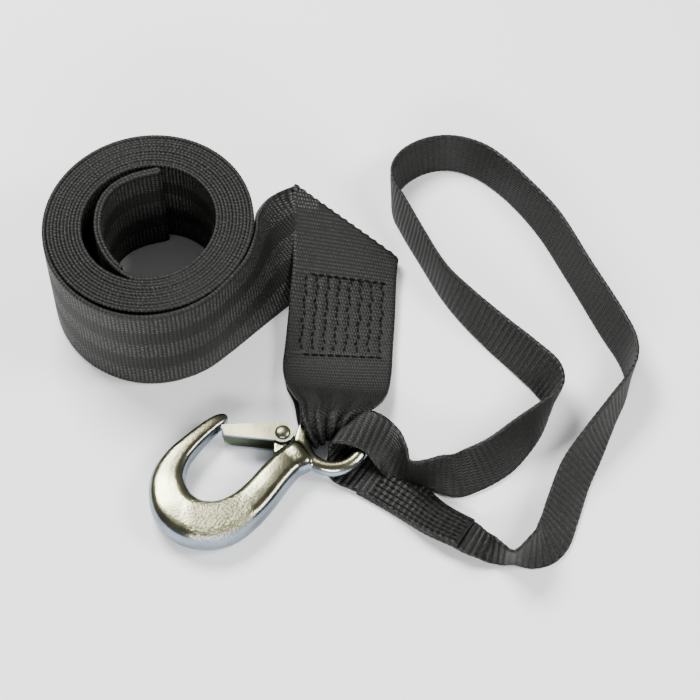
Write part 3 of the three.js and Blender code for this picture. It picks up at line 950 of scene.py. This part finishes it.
SHOULDER = [
    (-14.6, 10.4), (-16.6, 4.6), (-17.2, 0.4), (-19, -2.6),
    (-17.2, -9), (-11.4, -7.6), (-12.4, 0), (-13.6, 6),
]
SHOULDER_HALF = 3.6
PIVOT = (-22.5, 3.6)
LUG_RADIUS = 4.4
LUG_HALF = 2.5


def add_plate(bm, outline, bottom, height):
    """An outline as one face, pulled up to its height."""
    made = [bm.verts.new((x, y, bottom)) for x, y in outline]
    face = bm.faces.new(made)
    pulled = bmesh.ops.extrude_face_region(bm, geom=[face])
    top = [g for g in pulled["geom"] if isinstance(g, bmesh.types.BMVert)]
    bmesh.ops.translate(bm, verts=top, vec=(0, 0, height))
    return made + top


def rounded(points, corner):
    """A superellipse: a soft-edged bar rather than a round one."""
    return np.sign(points) * np.abs(points) ** corner


def hook_mesh(sizes):
    bm = bmesh.new()
    around, along = 28, 108
    path = np.array([(x, y, 0, w, t, 0, 0, 0) for x, y, w, t in HOOK_PATH], float)
    rows = carried(path, 0.2)
    rows = rows[np.rint(np.linspace(0, len(rows) - 1, along)).astype(int)]
    tangent = np.gradient(rows[:, :2], axis=0)
    tangent /= np.linalg.norm(tangent, axis=1)[:, None]
    grid = bmesh.ops.create_grid(bm, x_segments=along - 1, y_segments=around, size=0.5)["verts"]
    for vertex in grid:
        i = round((vertex.co.x + 0.5) * (along - 1))
        a = (vertex.co.y + 0.5) * 2 * math.pi
        wide = rows[i, 3] * rounded(math.cos(a), 0.5)
        thick = rows[i, 4] * rounded(math.sin(a), 0.72)
        vertex.co = (rows[i, 0] - tangent[i, 1] * wide, rows[i, 1] + tangent[i, 0] * wide, thick)
    bmesh.ops.remove_doubles(bm, verts=grid, dist=1e-3)
    bmesh.ops.holes_fill(bm, edges=[e for e in bm.edges if e.is_boundary], sides=0)

    ring = bmesh.ops.create_circle(bm, segments=20, radius=sizes.eye_wire)["verts"]
    bmesh.ops.rotate(bm, verts=ring, cent=(0, 0, 0), matrix=Matrix.Rotation(math.pi / 2, 3, "X"))
    bmesh.ops.translate(bm, verts=ring, vec=(sizes.eye_radius, 0, 0))
    edges = list({e for v in ring for e in v.link_edges})
    bmesh.ops.spin(bm, geom=ring + edges, cent=(0, 0, 0), axis=(0, 0, 1), angle=2 * math.pi, steps=72,
                   use_merge=True)
    add_plate(bm, SHOULDER, -SHOULDER_HALF, 2 * SHOULDER_HALF)
    half_turn = np.linspace(0, math.pi, 13)
    lug = [(PIVOT[0] + LUG_RADIUS * math.cos(a), PIVOT[1] + LUG_RADIUS * math.sin(a)) for a in half_turn]
    lug += [(PIVOT[0] - 3.8, PIVOT[1] - 11), (PIVOT[0] + 6.6, PIVOT[1] - 11)]
    add_plate(bm, lug, -LUG_HALF, 2 * LUG_HALF)
    bmesh.ops.recalc_face_normals(bm, faces=bm.faces)
    bmesh.ops.translate(bm, verts=bm.verts, vec=EYE)
    mesh = bpy.data.meshes.new("hook_forging")
    bm.to_mesh(mesh)
    bm.free()
    for vertex in mesh.vertices:
        vertex.co = placed(vertex.co)
    return mesh


class STRAP_OT_hook(bpy.types.Operator):
    """Snap hook's forging: bowl, shank, pointed shoulder and turned eye ring"""
    bl_idname = "strap.hook"
    bl_label = "Hook"

    def execute(self, context):
        sizes, colours = in_millimetres(context.scene.strap_sizes), context.scene.strap_colours
        piece = finish_piece(hook_mesh(sizes), zinc_material("zinc forging", colours, 0.13))
        # The bar, the ring, the shoulder and the lug run into each other as one forging
        fused = piece.modifiers.new("One forging", "REMESH")
        fused.mode = "VOXEL"
        fused.voxel_size = 0.0005
        fused.use_smooth_shade = True
        softened = piece.modifiers.new("Soft edges", "SMOOTH")
        softened.factor = 0.5
        softened.iterations = 8
        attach(piece, "strap")
        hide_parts("hook")
        return {"FINISHED"}


# Latch, in the pivot's own frame with its length along +X and its web on the side of -Y
LATCH_TURN = 178
LATCH_REACH = 27.5
LATCH_SHEET = 1.2
LATCH_TOP = 2.8
LATCH_BOTTOM = -4.3
LATCH_WEB = 5.9
LATCH_END = 5
LATCH_TIP = 3.2


def latch_outline():
    round_end = np.linspace(math.pi / 4, math.pi * 1.2, 12)
    end = [(LATCH_END * math.cos(a), LATCH_END * math.sin(a)) for a in round_end]
    return [(0, -LATCH_WEB), (LATCH_REACH, -LATCH_TIP), (LATCH_REACH - 1.6, 2), (3, 4), *end]


def place_at_pivot(bm):
    """Turns the latch or the rivet from the pivot's own frame to its place in the row frame."""
    bmesh.ops.rotate(bm, verts=bm.verts, cent=(0, 0, 0),
                     matrix=Matrix.Rotation(math.radians(LATCH_TURN), 3, "Z"))
    bmesh.ops.translate(bm, verts=bm.verts, vec=(EYE[0] + PIVOT[0], EYE[1] + PIVOT[1], EYE[2]))
    for vertex in bm.verts:
        vertex.co = placed(vertex.co)


class STRAP_OT_latch(bpy.types.Operator):
    """Latch of folded sheet with its spring, which swing about the rivet"""
    bl_idname = "strap.latch"
    bl_label = "Latch"

    def execute(self, context):
        colours = context.scene.strap_colours
        bm = bmesh.new()
        add_plate(bm, latch_outline(), LATCH_TOP, LATCH_SHEET)
        add_plate(bm, latch_outline(), LATCH_BOTTOM - LATCH_SHEET, LATCH_SHEET)
        slope = (LATCH_WEB - LATCH_TIP) / LATCH_REACH
        near = LUG_RADIUS - 1
        near_side = near * slope - LATCH_WEB
        wall = [(near, near_side), (LATCH_REACH, -LATCH_TIP), (LATCH_REACH, LATCH_SHEET - LATCH_TIP),
                (near, near_side + LATCH_SHEET)]
        add_plate(bm, wall, LATCH_BOTTOM - 0.3, LATCH_TOP - LATCH_BOTTOM + 0.6)
        bmesh.ops.recalc_face_normals(bm, faces=bm.faces)
        place_at_pivot(bm)
        mesh = bpy.data.meshes.new("latch_sheet")
        bm.to_mesh(mesh)
        bm.free()
        zinc = zinc_material("zinc sheet", colours, 0.26)
        piece = finish_piece(mesh, zinc)
        bent = piece.modifiers.new("Bent edges", "BEVEL")
        bent.width = 0.00045
        bent.segments = 3
        bent.limit_method = "ANGLE"
        bent.angle_limit = math.radians(30)
        bent.harden_normals = True
        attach(piece, "latch")
        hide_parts("latch")
        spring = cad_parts["latch_spring"]
        spring.data.materials.clear()
        spring.data.materials.append(zinc_material("spring wire", colours, 0.3))
        return {"FINISHED"}


RIVET_HEAD = 3.5
RIVET_SHANK = 2
RIVET_DOME = 1.5


class STRAP_OT_rivet(bpy.types.Operator):
    """Rivet with domed heads, on which the latch turns"""
    bl_idname = "strap.rivet"
    bl_label = "Rivet"

    def execute(self, context):
        colours = context.scene.strap_colours
        top = LATCH_TOP + LATCH_SHEET + 0.15
        bottom = LATCH_BOTTOM - LATCH_SHEET - 0.3
        quarter_turn = np.linspace(0, math.pi / 2, 8)
        dome = [(RIVET_HEAD * math.cos(a), RIVET_DOME * math.sin(a)) for a in quarter_turn]
        profile = [
            (0, bottom - 1.2), (2.4, bottom - 1.1), (RIVET_HEAD, bottom - 0.4), (RIVET_HEAD, bottom),
            (RIVET_SHANK, bottom), (RIVET_SHANK, top), (RIVET_HEAD, top),
        ]
        profile += [(r, top + 0.2 + h) for r, h in dome]
        bm = bmesh.new()
        verts = [bm.verts.new((r, 0, h)) for r, h in profile]
        edges = [bm.edges.new(pair) for pair in zip(verts, verts[1:])]
        bmesh.ops.spin(bm, geom=verts + edges, cent=(0, 0, 0), axis=(0, 0, 1), angle=2 * math.pi,
                       steps=36, use_merge=True)
        bmesh.ops.remove_doubles(bm, verts=bm.verts, dist=1e-4)
        bmesh.ops.recalc_face_normals(bm, faces=bm.faces)
        place_at_pivot(bm)
        mesh = bpy.data.meshes.new("rivet_domed")
        bm.to_mesh(mesh)
        bm.free()
        piece = finish_piece(mesh, zinc_material("rivet steel", colours, 0.24))
        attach(piece, "strap")
        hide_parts("latch_rivet")
        return {"FINISHED"}


class STRAP_OT_stage(bpy.types.Operator):
    """Pale floor, soft lights and a plain white world"""
    bl_idname = "strap.stage"
    bl_label = "Stage"

    def execute(self, context):
        scene = context.scene
        colours = scene.strap_colours
        bm = bmesh.new()
        bmesh.ops.create_grid(bm, x_segments=1, y_segments=1, size=3)
        mesh = bpy.data.meshes.new("floor")
        bm.to_mesh(mesh)
        bm.free()
        finish_piece(mesh, floor_material(colours))

        def soft_light(name, energy, across, deep, place, aim):
            lamp = bpy.data.lights.new(name, "AREA")
            lamp.shape = "RECTANGLE"
            lamp.energy = energy
            lamp.size, lamp.size_y = across, deep
            light = bpy.data.objects.new(name, lamp)
            light.location = place
            light.rotation_euler = (Vector(aim) - Vector(place)).to_track_quat("-Z", "Y").to_euler()
            scene.collection.objects.link(light)

        soft_light("key light", 21, 0.5, 0.35, (-0.35, 0.5, 0.8), (0, 0, 0))
        soft_light("right light", 9, 0.35, 0.35, (0.7, -0.1, 0.65), (0.03, 0, 0))
        soft_light("front light", 9, 0.5, 0.15, (-0.1, -0.8, 0.4), (0, 0, 0.01))
        world = bpy.data.worlds.new("studio")
        world.use_nodes = True
        world.node_tree.nodes["Background"].inputs["Color"].default_value = (1, 1, 1, 1)
        world.node_tree.nodes["Background"].inputs["Strength"].default_value = 0.22
        scene.world = world
        return {"FINISHED"}


class STRAP_OT_camera(bpy.types.Operator):
    """Camera at the photograph's place: 54 degrees down from the front"""
    bl_idname = "strap.camera"
    bl_label = "Camera"

    def execute(self, context):
        lens = bpy.data.cameras.new("camera")
        lens.lens = 93.09
        lens.sensor_width = 36
        lens.clip_start = 0.01
        camera = bpy.data.objects.new("camera", lens)
        camera.location = placed((91.33, -531.1, 681.3))
        camera.rotation_euler = (math.radians(36), 0, 0)
        context.scene.collection.objects.link(camera)
        context.scene.camera = camera
        return {"FINISHED"}


class STRAP_PT_panel(bpy.types.Panel):
    bl_idname = "STRAP_PT_panel"
    bl_label = "Winch strap"
    bl_space_type = "VIEW_3D"
    bl_region_type = "UI"
    bl_category = "Winch strap"

    def draw(self, context):
        for operator in OPERATORS:
            self.layout.operator(operator.bl_idname)
        for settings in (context.scene.strap_sizes, context.scene.strap_colours):
            for name in setting_names(settings):
                self.layout.prop(settings, name)


OPERATORS = (
    STRAP_OT_camera,
    STRAP_OT_stage,
    STRAP_OT_webbing,
    STRAP_OT_box_stitch,
    STRAP_OT_hand_strap,
    STRAP_OT_hook,
    STRAP_OT_latch,
    STRAP_OT_rivet,
)
CLASSES = (StrapSizes, StrapColours, *OPERATORS, STRAP_PT_panel)


def register():
    for cls in CLASSES:
        bpy.utils.register_class(cls)
    bpy.types.Scene.strap_sizes = PointerProperty(type=StrapSizes)
    bpy.types.Scene.strap_colours = PointerProperty(type=StrapColours)


def unregister():
    del bpy.types.Scene.strap_colours
    del bpy.types.Scene.strap_sizes
    for cls in reversed(CLASSES):
        bpy.utils.unregister_class(cls)


def main():
    register()
    bpy.ops.strap.camera()
    bpy.ops.strap.stage()
    bpy.ops.strap.webbing()
    bpy.ops.strap.box_stitch()
    bpy.ops.strap.hand_strap()
    bpy.ops.strap.hook()
    bpy.ops.strap.latch()
    bpy.ops.strap.rivet()


if __name__ == "__main__":
    main()
